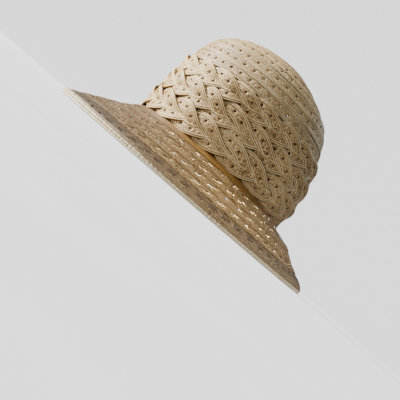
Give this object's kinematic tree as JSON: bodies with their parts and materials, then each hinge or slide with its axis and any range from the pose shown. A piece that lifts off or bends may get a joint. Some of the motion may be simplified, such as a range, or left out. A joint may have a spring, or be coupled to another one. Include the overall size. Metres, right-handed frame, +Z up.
{
  "type": "straw hat",
  "caption": "Natural straw hat: domed crown of sewn openwork braid, stacked plaits round its sides and a sloping bell brim with rows of slots.",
  "frame": {"origin": "centre of the bounding box, on the ground under the brim's edge", "axes": "-X towards the hat's front, -Y towards the wearer's left side, which the picture shows, +Z up to the crown's top"},
  "size_m": [0.3544, 0.3174, 0.19],
  "materials": {
    "tip_straw": "natural straw braid, slightly glossy",
    "plait_straw": "natural straw braid, slightly glossy",
    "strip_straw": "golden straw braid, smooth",
    "brim_straw": "natural straw braid, matte",
    "facing_straw": "natural straw braid, matte"
  },
  "bodies": {
    "root": {"crown_tip": "tip_straw", "plait_upper": "plait_straw", "plait_middle": "plait_straw", "plait_lower": "plait_straw", "crown_strip": "strip_straw", "brim": "brim_straw", "brim_facing": "facing_straw"}
  },
  "joints": []
}
